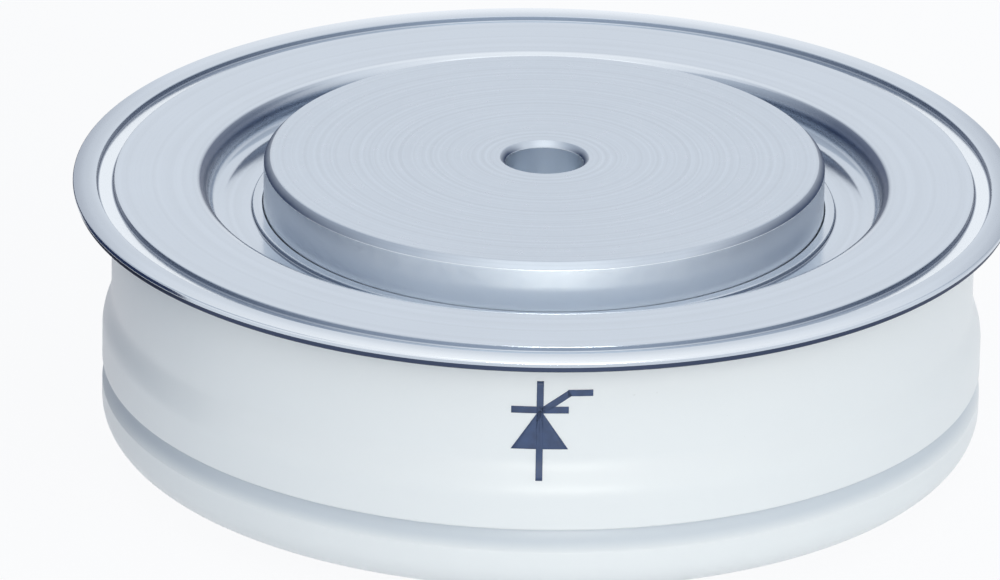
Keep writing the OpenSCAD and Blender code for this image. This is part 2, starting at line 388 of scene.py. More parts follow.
def rounded(corners: list[tuple[float, float, float]]) -> np.ndarray:
    """Outline through corners that are each eased by their own radius.

    Every corner is cut back to its two tangent points, which are joined by an arc of ten steps. A
    short land beside each arc keeps the flats flat under smooth shading.

    Args:
        corners: radius, height and easing of each corner in order, ending beside the first.

    Returns:
        The outline's points, one row each.
    """
    table = np.array(corners, float)
    p, ease = table[:, :2], table[:, 2:]
    back, ahead = np.roll(p, 1, 0) - p, np.roll(p, -1, 0) - p
    back /= np.linalg.norm(back, axis=1, keepdims=True)
    ahead /= np.linalg.norm(ahead, axis=1, keepdims=True)
    half = 0.5 * np.arccos(np.clip((back * ahead).sum(1, keepdims=True), -1.0, 1.0))
    reach = ease / np.tan(half)
    middle = back + ahead
    middle /= np.maximum(np.linalg.norm(middle, axis=1, keepdims=True), TINY)
    centre = p + middle * ease / np.sin(half)
    start, end = p + back * reach - centre, p + ahead * reach - centre
    from_a = np.arctan2(start[:, 1], start[:, 0])
    sweep = np.arctan2(end[:, 1], end[:, 0]) - from_a
    sweep = (sweep + np.pi) % (2 * np.pi) - np.pi
    angle = from_a[:, None] + sweep[:, None] * np.linspace(0.0, 1.0, ARC_STEPS + 1)
    arcs = centre[:, None] + ease[:, None] * np.stack([np.cos(angle), np.sin(angle)], 2)
    land = np.where(ease > 0, LAND, 0.0)
    before, after = arcs[:, :1] + (back * land)[:, None], arcs[:, -1:] + (ahead * land)[:, None]
    points = np.concatenate([before, arcs, after], 1).reshape(-1, 2)
    apart = np.linalg.norm(np.diff(points, axis=0), axis=1) > SAME_POINT
    return points[np.r_[True, apart]]


def spun(outline: np.ndarray, turns: np.ndarray) -> tuple[np.ndarray, list]:
    """Surface of revolution about the upright axis.

    The point at outline station i and turn j is the station's radius times the cosine and sine of the
    turn, at the station's height. Stations on the axis become one pole each, closed by a fan; any
    other outline closes on itself.

    Args:
        outline: radius and height of each station, running anticlockwise as seen with the radius
            to the right.
        turns: angles in radians, without the closing one.

    Returns:
        The vertices and the faces.
    """
    n = len(turns)
    poles = outline[0, 0] < ON_AXIS
    rings = outline[1:-1] if poles else outline
    r, z = rings[:, :1], rings[:, 1:]
    grid = np.stack([r * np.cos(turns), r * np.sin(turns), z + 0.0 * turns], 2)
    index = np.arange(len(rings) * n).reshape(-1, n)
    right = np.roll(index, -1, 1)
    above, above_right = np.roll(index, -1, 0), np.roll(right, -1, 0)
    quads = np.stack([index, right, above_right, above], 2)
    if not poles:
        return grid.reshape(-1, 3), quads.reshape(-1, 4).tolist()
    foot, head = index.size, index.size + 1
    ends = np.array([[0.0, 0.0, outline[0, 1]], [0.0, 0.0, outline[-1, 1]]])
    low = np.stack([np.full(n, foot), right[0], index[0]], 1)
    high = np.stack([np.full(n, head), index[-1], right[-1]], 1)
    faces = quads[:-1].reshape(-1, 4).tolist() + low.tolist() + high.tolist()
    return np.concatenate([grid.reshape(-1, 3), ends]), faces


def even_turns(count: int) -> np.ndarray:
    """Equal steps round the axis, without the closing one."""
    return np.arange(count) * (2 * np.pi / count)


def rising(value: np.ndarray, start: float, width: float) -> np.ndarray:
    """0 up to the start, then a straight climb to 1 over the width."""
    return np.clip((value - start) / width, 0.0, 1.0)


def falling(value: np.ndarray, end: float, width: float) -> np.ndarray:
    """1, then a straight fall over the width that is 0 from the end on."""
    return np.clip((end - value) / width, 0.0, 1.0)


def carried(profile: np.ndarray, y0: float, y1: float) -> tuple[np.ndarray, list]:
    """Closed bar: an outline carried straight along the gate lead's direction.

    The point at end j and corner k is the outline's corner k at the y of that end.

    Args:
        profile: x and z of each corner, anticlockwise as seen from the front.
        y0: where the bar starts.
        y1: where it ends.

    Returns:
        The vertices and the faces.
    """
    x, z = profile.T
    ends = np.concatenate([np.stack([x, np.full(len(x), y), z], 1) for y in (y0, y1)])
    near, far = np.arange(2 * len(x)).reshape(2, -1)
    sides = np.stack([near, far, np.roll(far, -1), np.roll(near, -1)], 1)
    return ends, [*sides.tolist(), near.tolist(), far[::-1].tolist()]


def cut_away(piece: bpy.types.Object, vertices: np.ndarray, faces: list) -> None:
    """Takes a closed shape out of a piece and keeps the edges of the cut crisp.

    Args:
        piece: the piece to cut.
        vertices: the shape's points in millimetres.
        faces: its faces, seen anticlockwise from outside.
    """
    mesh = bpy.data.meshes.new("cutter")
    mesh.from_pydata((vertices * MM).tolist(), [], faces)
    cutter = bpy.data.objects.new("cutter", mesh)
    bpy.context.scene.collection.objects.link(cutter)
    cut = piece.modifiers.new("cut", "BOOLEAN")
    cut.object, cut.operation, cut.solver = cutter, "DIFFERENCE", "EXACT"
    state = piece.evaluated_get(bpy.context.evaluated_depsgraph_get())
    piece.data = bpy.data.meshes.new_from_object(state)
    piece.data.set_sharp_from_angle(angle=CRISP_ANGLE)
    piece.modifiers.clear()
    bpy.data.objects.remove(cutter)


def add_piece(
    name: str,
    vertices: np.ndarray,
    faces: list,
    finish: object,
    slot: str,
    *nodes: str,
    painted_shading: np.ndarray | None = None,
    cut: tuple[np.ndarray, list] | None = None,
) -> None:
    """Makes a finished piece of the dressed part and reports it.

    Args:
        name: the piece's name.
        vertices: points in millimetres.
        faces: corner numbers of each face, seen anticlockwise from outside.
        finish: the finish that gives the material.
        slot: name of the material slot; not used.
        nodes: CAD nodes that the piece stands for.
        painted_shading: how much shade, or below 0 how much highlight, is painted at each vertex.
        cut: points and faces of a shape that is taken out of the piece.
    """
    mesh = bpy.data.meshes.new(name)
    mesh.from_pydata((vertices * MM).tolist(), [], faces)
    mesh.shade_smooth()
    if painted_shading is not None:
        layer = mesh.attributes.new("painted_shading", "FLOAT", "POINT")
        layer.data.foreach_set("value", painted_shading.astype(np.float32))
    mesh.materials.append(finish.material())
    piece = bpy.data.objects.new(name, mesh)
    bpy.context.scene.collection.objects.link(piece)
    if cut:
        cut_away(piece, *cut)
    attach(piece, "root")
    if nodes:
        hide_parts(*nodes)
    log.info("%s: %d faces, stands for %s", name, len(faces), ", ".join(nodes) or "no node")


def dress_node(name: str, finish: object) -> None:
    """Gives a CAD node its finish and reports it.

    Args:
        name: the node's name.
        finish: the finish that gives the material.
    """
    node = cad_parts[name]
    node.data.materials.clear()
    node.data.materials.append(finish.material())
    log.info("%s: dressed as %s", name, finish.name)


@dataclass(frozen=True)
class Levels:
    """Radii and heights that the pieces share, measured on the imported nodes."""

    rim_r: float
    contact_r: float
    shoulder_r: float
    bore_r: float
    lip_r: float
    ring_r: float
    ceramic_z0: float
    ceramic_z1: float
    seam_z: float
    rim_z: float
    shoulder_z: float
    stack_z: float
    cathode_z: float
    lead_z: float
    tube_y0: float
    tube_y1: float

    @classmethod
    def measured(cls) -> "Levels":
        """Reads the shared sizes from the nodes' boxes."""
        low, high = {}, {}
        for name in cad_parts:
            a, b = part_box(name)
            low[name], high[name] = np.array(a) / MM, np.array(b) / MM
        return cls(
            rim_r=high["cathode_flange"][0],
            contact_r=high["cathode_plate"][0],
            shoulder_r=high["cathode_pole"][0],
            bore_r=high["locating_ring"][0] + FIT,
            lip_r=high["ceramic_ring"][0],
            ring_r=high["weld_ring"][0],
            ceramic_z0=low["ceramic_ring"][2],
            ceramic_z1=high["ceramic_ring"][2],
            seam_z=high["weld_ring"][2],
            rim_z=high["cathode_flange"][2],
            shoulder_z=low["cathode_flange"][2],
            stack_z=low["cathode_pole"][2],
            cathode_z=high["cathode_pole"][2],
            lead_z=(low["gate_tube"][2] + high["gate_tube"][2]) / 2,
            tube_y0=low["gate_tube"][1],
            tube_y1=high["gate_tube"][1],
        )


@dataclass
class CathodePole:
    """Upper copper contact, nickel plated, with the gate's well below and the centring hole on top."""

    levels: Levels
    bevel: float = 0.3
    hole_r: float = 1.75
    hole_depth: float = 2.0
    hole_bevel: float = 0.25
    well_r: float = 3.2
    well_depth: float = 3.4
    slot_half: float = 0.8
    slot_steps: int = 24
    clear: float = 0.5
    side_start: float = 0.50
    side_blend: float = 0.40
    # Painted shade on the bevels' left and right, and painted highlight on the wall and in the hole.
    bevel_shade: float = 0.95
    bevel_shade_start: float = 0.02
    bevel_shade_blend: float = 0.06
    side_shade: float = 0.35
    hole_highlight: float = 0.45
    skin: float = 0.01

    def slot(self) -> tuple[np.ndarray, list]:
        """Shape of the gate lead's slot: an arch, open below, carried from the well past the shoulder."""
        s = self.levels
        a = np.linspace(0.0, np.pi, self.slot_steps + 1)
        arch = np.stack([self.slot_half * np.cos(a), s.lead_z + self.slot_half * np.sin(a)], 1)
        low_z = s.stack_z - self.clear
        foot = np.array([(-self.slot_half, low_z), (self.slot_half, low_z)])
        return carried(np.concatenate([foot, arch]), self.well_r / 2, s.shoulder_r + self.clear)

    def build(self) -> None:
        """Spins the pole's outline, cuts the lead's slot into its hidden side and plates it."""
        s = self.levels
        top, hole_z = s.cathode_z, s.cathode_z - self.hole_depth
        outline = rounded(
            [
                (0.0, s.stack_z + self.well_depth, 0.0),
                (self.well_r, s.stack_z + self.well_depth, 0.1),
                (self.well_r, s.stack_z, 0.05),
                (s.shoulder_r, s.stack_z, 0.1),
                (s.shoulder_r, s.shoulder_z, 0.05),
                (s.contact_r, s.shoulder_z, 0.05),
                (s.contact_r, top - self.bevel, 0.06),
                (s.contact_r - self.bevel, top, 0.10),
                (self.hole_r + self.hole_bevel, top, 0.05),
                (self.hole_r, top - self.hole_bevel, 0.08),
                (self.hole_r, hole_z, 0.2),
                (0.0, hole_z, 0.0),
            ]
        )
        vertices, faces = spun(outline, even_turns(TURNS))
        finish = PlatedMetal("nickel_faced", Tone.NICKEL, 0.30, Marks.FACED)
        details = {"painted_shading": self.painted_shading(vertices), "cut": self.slot()}
        add_piece("cathode_contact", vertices, faces, finish, "nickel_plate", "cathode_pole", **details)

    def painted_shading(self, vertices: np.ndarray) -> np.ndarray:
        """Painted shade on the left and right of both bevels; painted highlight on the turned wall, weaker
        at its left and right, and in the hole.

        Args:
            vertices: points of the pole.

        Returns:
            The painted shading at each vertex.
        """
        x, y, z = vertices.T
        r, depth = np.hypot(x, y), self.levels.cathode_z - z
        outside = r > self.levels.contact_r / 2
        side = rising(np.abs(x) / np.maximum(r, TINY), self.side_start, self.side_blend)
        shaded_bevel = self.bevel_shade * side * rising(depth, self.bevel_shade_start, self.bevel_shade_blend)
        # Painted highlight on the turned wall, weaker at its left and right.
        turned = (self.side_shade * side - 1.0) * outside
        painted_shading = np.where(outside & (depth <= self.bevel), shaded_bevel, turned)
        bored = (r < self.hole_r + self.skin) & (depth > self.hole_bevel)
        # Painted highlight in the hole.
        painted_shading -= self.hole_highlight * (bored & (depth < self.hole_depth + self.skin))
        edge = (r < self.hole_r + self.hole_bevel) & (depth <= self.hole_bevel) & (depth > 0.0)
        return np.where(edge, shaded_bevel, painted_shading)


@dataclass(frozen=True)
class SheetPaintedLight:
    """Where shade and highlights are painted on the sheet: lengths, and how strong each painted mark is.
    """

    # Painted shade in the weld groove.
    groove_shade_in: float = 0.02
    groove_shade_reach: float = 0.126
    groove_shade_blend: float = 0.09
    groove_shade_depth: float = 0.05
    groove_shade_all: float = 0.10
    groove_shade_sides: float = 0.75
    # Painted highlight on the groove's floor.
    floor_start: float = 0.09
    floor_blend: float = 0.03
    floor_depth: float = 0.2
    floor_highlight: float = 0.9
    # Painted shade in the trough's mouth.
    mouth_shade_start: float = 0.015
    mouth_shade_blend: float = 0.05
    mouth_shade_end: float = 1.25
    mouth_shade_fade: float = 0.75
    mouth_shade_in: float = 0.4
    mouth_shade_in_blend: float = 0.2
    mouth_shade_out: float = 0.02
    mouth_shade_all: float = 0.1
    mouth_shade_sides: float = 1.2
    mouth_shade_level: float = 0.93
    mouth_shade_right: float = 0.04
    # Painted shade by the collar.
    collar_reach: float = 0.072
    collar_blend: float = 0.06
    collar_depth: float = 1.2
    collar_sides: float = 0.8
    # Painted shade on the rim's left and right, painted highlight at its front and rear.
    rim_skin: float = 0.1
    rim_sides: float = 0.42
    rim_highlight: float = 0.90
    # Painted highlight on the trough's rolled lip at the front and rear.
    lip_blend: float = 0.15
    lip_end: float = 0.45
    lip_fade: float = 0.25
    lip_in: float = 0.05
    lip_highlight: float = 0.75


@dataclass
class CathodeFlange:
    """Drawn sheet diaphragm: collar, trough with a rolled mouth, flat, pressed weld groove and rim."""

    levels: Levels
    painted_light: SheetPaintedLight = SheetPaintedLight()
    trough_w: float = 2.5
    foot_r: float = 0.65
    mouth_r: float = 0.6
    collar_w: float = 0.5
    collar_rise: float = 0.2
    rim_margin: float = 1.05
    weld_w: float = 0.8
    weld_depth: float = 0.25
    weld_slope: float = 0.05

    def build(self) -> None:
        """Spins the sheet's outline, upper and lower side, and plates it."""
        s = self.levels
        t = s.rim_z - s.seam_z
        inner = s.contact_r + FIT
        floor = s.shoulder_z + t
        wall = s.contact_r + self.trough_w
        collar = s.contact_r + self.collar_w
        weld_out = s.rim_r - self.rim_margin
        weld_in = weld_out - self.weld_w
        bead_z = s.seam_z - self.weld_depth / 2
        outline = rounded(
            [
                (inner, s.shoulder_z, 0.02),
                (wall + t, s.shoulder_z, self.foot_r + t),
                (wall + t, s.seam_z, self.mouth_r - t),
                (weld_in - t / 2, s.seam_z, 0.03),
                (weld_in - t / 2, bead_z, 0.03),
                (weld_out + t / 2, bead_z, 0.03),
                (weld_out + t / 2, s.seam_z, 0.03),
                (s.rim_r, s.seam_z, 0.05),
                (s.rim_r, s.rim_z, 0.08),
                (weld_out, s.rim_z, 0.05),
                (weld_out - self.weld_slope, s.rim_z - self.weld_depth, 0.07),
                (weld_in + self.weld_slope, s.rim_z - self.weld_depth, 0.07),
                (weld_in, s.rim_z, 0.05),
                (wall, s.rim_z, self.mouth_r),
                (wall, floor, self.foot_r),
                (collar, floor, 0.06),
                (collar, floor + self.collar_rise, 0.07),
                (inner, floor + self.collar_rise, 0.03),
            ]
        )
        vertices, faces = spun(outline, even_turns(TURNS))
        finish = PlatedMetal("sheet_drawn", Tone.SHEET, 0.15, Marks.DRAWN)
        painted_shading = self.painted_shading(vertices)
        add_piece("diaphragm", vertices, faces, finish, "flange_sheet", "cathode_flange", painted_shading=painted_shading)

    def painted_shading(self, vertices: np.ndarray) -> np.ndarray:
        """Painted shade, dark blue, in the weld groove, the trough's mouth, by the collar and on the rim;
        painted highlight on the groove's floor.

        The painted shade is strongest on the left and right, by the square of the turn's cosine, and
        on the trough's wall a little stronger on the right. The rim and the trough's lip get a painted
        highlight at the front and rear, by the square of its sine.

        Args:
            vertices: points of the sheet.

        Returns:
            The painted shading at each vertex.
        """
        w = self.painted_light
        x, y, z = vertices.T
        r, depth, turn = np.hypot(x, y), self.levels.rim_z - z, np.arctan2(y, x)
        sides, ends = np.cos(turn) ** 2, np.sin(turn) ** 2
        weld_out = self.levels.rim_r - self.rim_margin
        weld_in = weld_out - self.weld_w
        wall = self.levels.contact_r + self.trough_w
        near = np.minimum(np.abs(r - weld_out + w.groove_shade_in), np.abs(r - weld_in - w.groove_shade_in))
        groove = falling(near, w.groove_shade_reach, w.groove_shade_blend) * rising(depth, 0.0, w.groove_shade_depth)
        groove *= w.groove_shade_all + w.groove_shade_sides * sides
        mouth = rising(depth, w.mouth_shade_start, w.mouth_shade_blend) * falling(depth, w.mouth_shade_end, w.mouth_shade_fade)
        mouth *= rising(r, wall - w.mouth_shade_in, w.mouth_shade_in_blend) * (r < wall + self.mouth_r - w.mouth_shade_out)
        mouth *= np.clip(w.mouth_shade_all + w.mouth_shade_sides * sides, 0.0, 1.0)
        mouth *= w.mouth_shade_level + w.mouth_shade_right * np.cos(turn)
        from_collar = np.abs(r - self.levels.contact_r - self.collar_w)
        collar = falling(from_collar, w.collar_reach, w.collar_blend) * (depth > w.collar_depth)
        collar *= (r < wall) * w.collar_sides * sides
        on_rim = (r > weld_out + w.rim_skin) * (depth < w.rim_skin)
        rim = w.rim_sides * on_rim * sides
        floor = rising(near, w.floor_start, w.floor_blend) * (depth > w.floor_depth)
        floor *= (r > weld_in) * (r < weld_out)
        lip = falling(r, wall + self.mouth_r, w.lip_blend) * falling(depth, w.lip_end, w.lip_fade)
        lip *= (r > wall - w.lip_in) * (r < weld_in)
        # Painted highlight on the groove's floor, and at the front and rear on the rim and the lip.
        highlighted = w.floor_highlight * floor + (w.rim_highlight * on_rim + w.lip_highlight * lip) * ends
        return np.maximum.reduce([groove, mouth, collar, rim]) - highlighted


@dataclass
class WeldRing:
    """Lower sheet of the rim, coloured almost black: a painted shadow that draws the dark line under the
    rim's edge.
    """

    levels: Levels
    inner_r: float = 15.7
    rim_margin: float = 1.05
    weld_w: float = 0.8
    weld_depth: float = 0.25

    def build(self) -> None:
        """Spins the ring with the pressed groove in its upper side."""
        s = self.levels
        half_t = (s.seam_z - s.ceramic_z1) / 2
        bead_out = s.rim_r - self.rim_margin + half_t
        bead_in = s.rim_r - self.rim_margin - self.weld_w - half_t
        bead_z = s.seam_z - self.weld_depth / 2
        outline = rounded(
            [
                (self.inner_r, s.ceramic_z1, 0.03),
                (s.ring_r, s.ceramic_z1, 0.05),
                (s.ring_r, s.seam_z, 0.03),
                (bead_out, s.seam_z, 0.02),
                (bead_out, bead_z, 0.02),
                (bead_in, bead_z, 0.02),
                (bead_in, s.seam_z, 0.02),
                (self.inner_r, s.seam_z, 0.03),
            ]
        )
        vertices, faces = spun(outline, even_turns(TURNS))
        # Painted shadow: the whole ring is near black.
        finish = PlatedMetal("sheet_rim_shadow", Tone.RIM_SHADOW, 0.42, Marks.NONE)
        add_piece("rim_backing", vertices, faces, finish, "flange_sheet", "weld_ring")


@dataclass
class CeramicRing:
    """Glazed alumina ring: waist, flared lip, creepage groove and round-edged foot band."""

    levels: Levels
    lip_out: float = 0.4
    lip_h: float = 3.2
    land_h: float = 1.5
    flare_h: float = 1.8
    groove_h: float = 1.05
    groove_depth: float = 0.5
    foot_r: float = 1.4
    spot_r: float = 1.9
    spot_depth: float = 0.4
    spot_edge: float = 0.12
    hole_r: float = 1.1
    hole_steps: int = 64
    clear: float = 0.5
    cove_steps: int = 12
    wall_stations: int = 70
    wall_end: float = 0.4
    turns: int = 400
    crowding: float = 0.75
    # Painted shadow of the lip in the groove.
    lip_shadow: float = 0.6
    lip_shadow_start: float = 0.04
    lip_shadow_blend: float = 0.3
    lip_shadow_over: float = 0.01
    lip_shadow_under: float = 0.1

    def waist_r(self) -> float:
        """Radius of the ring's waist."""
        return self.levels.lip_r - self.lip_out

    def wall_r(self, z: np.ndarray) -> np.ndarray:
        """Radius of the outer wall above the lip: a cosine sway from the land to the waist.

        Args:
            z: heights.

        Returns:
            The radius at each height.
        """
        land_z = self.levels.ceramic_z0 + self.lip_h + self.land_h
        share = np.clip((z - land_z) / self.flare_h, 0.0, 1.0)
        return self.levels.lip_r - self.lip_out * (1 - np.cos(np.pi * share)) / 2

    def outline(self) -> np.ndarray:
        """Outline of the ring, with close stations where the gate's flat is ground."""
        s = self.levels
        lip_z = s.ceramic_z0 + self.lip_h
        half = math.atan2(self.groove_depth, self.groove_h)
        r = self.groove_h / math.sin(2 * half)
        a = np.linspace(np.pi + 2 * half, np.pi, self.cove_steps + 1)[1:-1]
        cove = np.stack([s.lip_r - self.groove_depth + r + r * np.cos(a), lip_z + r * np.sin(a), 0 * a], 1)
        z = np.linspace(lip_z + self.land_h, s.ceramic_z1 - self.wall_end, self.wall_stations)
        wall = np.stack([self.wall_r(z), z, 0 * z], 1)
        return rounded(
            [
                (s.bore_r, s.ceramic_z0, 0.15),
                (s.lip_r, s.ceramic_z0, self.foot_r),
                (s.lip_r, lip_z - self.groove_h, 0.08),
                *map(tuple, cove),
                (s.lip_r - self.groove_depth, lip_z, 0.05),
                (s.lip_r, lip_z, 0.10),
                *map(tuple, wall),
                (self.waist_r(), s.ceramic_z1, 0.12),
                (s.bore_r, s.ceramic_z1, 0.12),
            ]
        )

    def hole(self) -> tuple[np.ndarray, list]:
        """Shape of the hole for the gate's tube: a circle carried through the wall."""
        s = self.levels
        a = even_turns(self.hole_steps)
        circle = np.stack([self.hole_r * np.cos(a), s.lead_z + self.hole_r * np.sin(a)], 1)
        return carried(circle, s.bore_r - self.clear, s.lip_r + self.clear)

    def build(self) -> None:
        """Spins the ring, grinds the gate's flat on its rear, drills the gate's hole and glazes it.

        The turns crowd together at the rear, where points inside the flat's circle are drawn in to its
        plane; a narrow blend at the circle's edge rounds the ground edge.
        """
        s = self.levels
        u = even_turns(self.turns)
        vertices, faces = spun(self.outline(), np.pi / 2 + u - self.crowding * np.sin(u))
        x, y, z = vertices.T
        flat_y = self.waist_r() - self.spot_depth
        away = np.hypot(x, z - s.lead_z)
        inside = falling(away, self.spot_r + self.spot_edge / 2, self.spot_edge)
        inside = inside * inside * (3 - 2 * inside)
        vertices[:, 1] = np.where(y > flat_y, y + (flat_y - y) * inside, y)
        finish = GlazedAlumina("alumina_glazed", s.ceramic_z0)
        details = {"painted_shading": self.painted_shading(vertices), "cut": self.hole()}
        add_piece("ceramic_wall", vertices, faces, finish, "glazed_alumina", "ceramic_ring", **details)

    def painted_shading(self, vertices: np.ndarray) -> np.ndarray:
        """Painted shadow of the lip in the groove, stronger the deeper it lies below the lip.

        Args:
            vertices: points of the ring.

        Returns:
            The painted shadow at each vertex.
        """
        s = self.levels
        x, y, z = vertices.T
        r, below = np.hypot(x, y), s.ceramic_z0 + self.lip_h - z
        in_groove = (below > -self.lip_shadow_over) & (below < self.groove_h + self.lip_shadow_under)
        outer = r > (s.bore_r + s.lip_r) / 2
        return self.lip_shadow * falling(r, s.lip_r - self.lip_shadow_start, self.lip_shadow_blend) * (in_groove & outer)


@dataclass
class CircuitSymbol:
    """Plain circuit symbol of a thyristor, stamped in ink on the front of the ceramic ring.

    Each stroke runs straight on the unrolled wall and is a start, an end and the width at both, all
    in millimetres along the wall and above the anode face.
    """

    ring: CeramicRing
    film: float = 0.012
    stations: int = 25
    across: int = 9
    strokes: list = field(
        default_factory=lambda: [
            ((0.0, 6.7), (0.0, 11.3), 0.3, 0.3),
            ((0.0, 8.1), (0.0, 9.9), 2.5, 0.12),
            ((-1.25, 9.95), (1.25, 9.95), 0.32, 0.32),
            ((0.1, 9.9), (1.3, 10.75), 0.3, 0.3),
            ((1.2, 10.75), (2.3, 10.75), 0.3, 0.3),
        ]
    )

    def stroke(self, start: tuple, end: tuple, width_a: float, width_b: float) -> tuple[np.ndarray, list]:
        """Lays one stroke on the wall as a thin closed slab.

        The point at station i and corner k is the straight path's point, moved across the path by half
        the width there, then bent round the wall at the wall's radius plus the corner's height.

        Args:
            start: place along the wall and height where it starts.
            end: the same where it ends.
            width_a: width at the start.
            width_b: width at the end.

        Returns:
            The vertices and the faces.
        """
        a, b = np.array(start), np.array(end)
        t = np.linspace(0.0, 1.0, self.stations)[:, None]
        path = a + (b - a) * t
        along = (b - a) / np.linalg.norm(b - a)
        across = np.array([-along[1], along[0]])
        half = (width_a + (width_b - width_a) * t) / 2
        side = np.linspace(-1.0, 1.0, self.across)
        side = np.r_[side, side[::-1]]
        lift = np.repeat([self.film, -self.film], self.across)
        flat = path[:, None] + across * (half * side)[:, :, None]
        r = self.ring.wall_r(flat[:, :, 1]) + lift
        turn = flat[:, :, 0] / self.ring.waist_r()
        grid = np.stack([r * np.sin(turn), -r * np.cos(turn), flat[:, :, 1]], 2)
        index = np.arange(grid.shape[0] * grid.shape[1]).reshape(grid.shape[:2])
        near, far = index[:-1], index[1:]
        quads = np.stack([near, far, np.roll(far, -1, 1), np.roll(near, -1, 1)], 2).reshape(-1, 4)
        caps = [index[0].tolist(), index[-1][::-1].tolist()]
        return grid.reshape(-1, 3), quads.tolist() + caps

    def build(self) -> None:
        """Lays every stroke and inks them as one piece."""
        vertices, faces, count = [], [], 0
        for start, end, width_a, width_b in self.strokes:
            points, corners = self.stroke(start, end, width_a, width_b)
            faces += [[c + count for c in face] for face in corners]
            vertices.append(points)
            count += len(points)
        finish = InkFilm("ink_stamped")
        add_piece("circuit_symbol", np.concatenate(vertices), faces, finish, "glazed_alumina")


@dataclass
class AnodeSide:
    """Lower contact with its centring hole, and the flat sheet that joins it to the ceramic."""

    levels: Levels
    pole_h: float = 4.6
    bevel: float = 0.3
    hole_r: float = 1.75
    hole_depth: float = 2.0
    hole_bevel: float = 0.25
    seam_w: float = 1.6

    def build(self) -> None:
        """Spins the pole and the flat flange."""
        s = self.levels
        pole = rounded(
            [
                (0.0, self.hole_depth, 0.0),
                (self.hole_r, self.hole_depth, 0.2),
                (self.hole_r, self.hole_bevel, 0.08),
                (self.hole_r + self.hole_bevel, 0.0, 0.05),
                (s.contact_r - self.bevel, 0.0, 0.10),
                (s.contact_r, self.bevel, 0.12),
                (s.contact_r, s.ceramic_z0, 0.05),
                (s.shoulder_r, s.ceramic_z0, 0.05),
                (s.shoulder_r, self.pole_h, 0.1),
                (0.0, self.pole_h, 0.0),
            ]
        )
        vertices, faces = spun(pole, even_turns(TURNS))
        finish = PlatedMetal("nickel_faced_anode", Tone.NICKEL, 0.30, Marks.FACED)
        add_piece("anode_contact", vertices, faces, finish, "nickel_plate", "anode_pole")
        t = s.seam_z - s.ceramic_z1
        outer = s.bore_r + self.seam_w
        inner = s.contact_r + FIT
        sheet = rounded(
            [
                (inner, s.ceramic_z0 - t, 0.03),
                (outer, s.ceramic_z0 - t, 0.08),
                (outer, s.ceramic_z0, 0.03),
                (inner, s.ceramic_z0, 0.03),
            ]
        )
        vertices, faces = spun(sheet, even_turns(TURNS))
        finish = PlatedMetal("sheet_flat", Tone.SHEET, 0.28, Marks.DRAWN)
        add_piece("anode_sheet", vertices, faces, finish, "flange_sheet", "anode_flange")


@dataclass
class GateTerminal:
    """Tube of the gate at the rear, with its brazed collar and closed end."""

    ring: CeramicRing
    tube_r: float = 1.05
    wall: float = 0.6
    collar_w: float = 0.8
    collar_t: float = 0.3
    turns: int = 120

    def build(self) -> None:
        """Spins the tube upright, then lays it along the lead's axis."""
        s = self.ring.levels
        outer = self.tube_r + self.collar_w
        seat = self.ring.waist_r() - self.ring.spot_depth
        face = seat + self.collar_t
        inner, blind_end = self.tube_r - self.wall, s.tube_y1 - self.wall
        outline = rounded(
            [
                (0.0, blind_end, 0.0),
                (inner, blind_end, 0.05),
                (inner, s.tube_y0, 0.03),
                (self.tube_r, s.tube_y0, 0.05),
                (self.tube_r, seat, 0.02),
                (outer, seat, 0.03),
                (outer, face, 0.08),
                (self.tube_r, face, 0.12),
                (self.tube_r, s.tube_y1, 0.3),
                (0.0, s.tube_y1, 0.0),
            ]
        )
        upright, faces = spun(outline, even_turns(self.turns))
        x, y, z = upright.T
        vertices = np.stack([x, z, s.lead_z - y], 1)
        finish = PlatedMetal("nickel_tube", Tone.NICKEL, 0.28, Marks.NONE)
        add_piece("gate_terminal", vertices, faces, finish, "nickel_plate", "gate_tube")


@dataclass
class SealedStack:
    """Pieces inside the capsule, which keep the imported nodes' own shapes."""

    silver: PlainStuff = PlainStuff("silver_foil", Tone.SILVER, 1.0, 0.25)
    molybdenum: PlainStuff = PlainStuff("molybdenum_lapped", Tone.MOLYBDENUM, 1.0, 0.40)
    silicon: PlainStuff = PlainStuff("silicon_polished", Tone.SILICON, 0.6, 0.12)
    seal: PlainStuff = PlainStuff("seal_rubber", Tone.SEAL, 0.0, 0.45)
    insulator: PlainStuff = PlainStuff("insulator_moulded", Tone.INSULATOR, 0.0, 0.50)
    brass: PlainStuff = PlainStuff("gate_brass", Tone.BRASS, 1.0, 0.30)
    steel: PlainStuff = PlainStuff("spring_steel", Tone.STEEL, 1.0, 0.32)

    def build(self) -> None:
        """Dresses the wafer's stack, then the gate's contact."""
        for name in ("anode_foil", "cathode_foil", "gate_lead"):
            dress_node(name, self.silver)
        for name in ("anode_plate", "cathode_plate"):
            dress_node(name, self.molybdenum)
        dress_node("silicon_wafer", self.silicon)
        dress_node("edge_seal", self.seal)
        for name in ("locating_ring", "gate_bush", "lead_sleeve"):
            dress_node(name, self.insulator)
        dress_node("gate_pin", self.brass)
        dress_node("gate_spring", self.steel)


class Reach(Enum):
    """Which surfaces a soft box shows on."""

    BOTH = "matt and shiny"
    MATT = "matt"
    SHINY = "shiny"


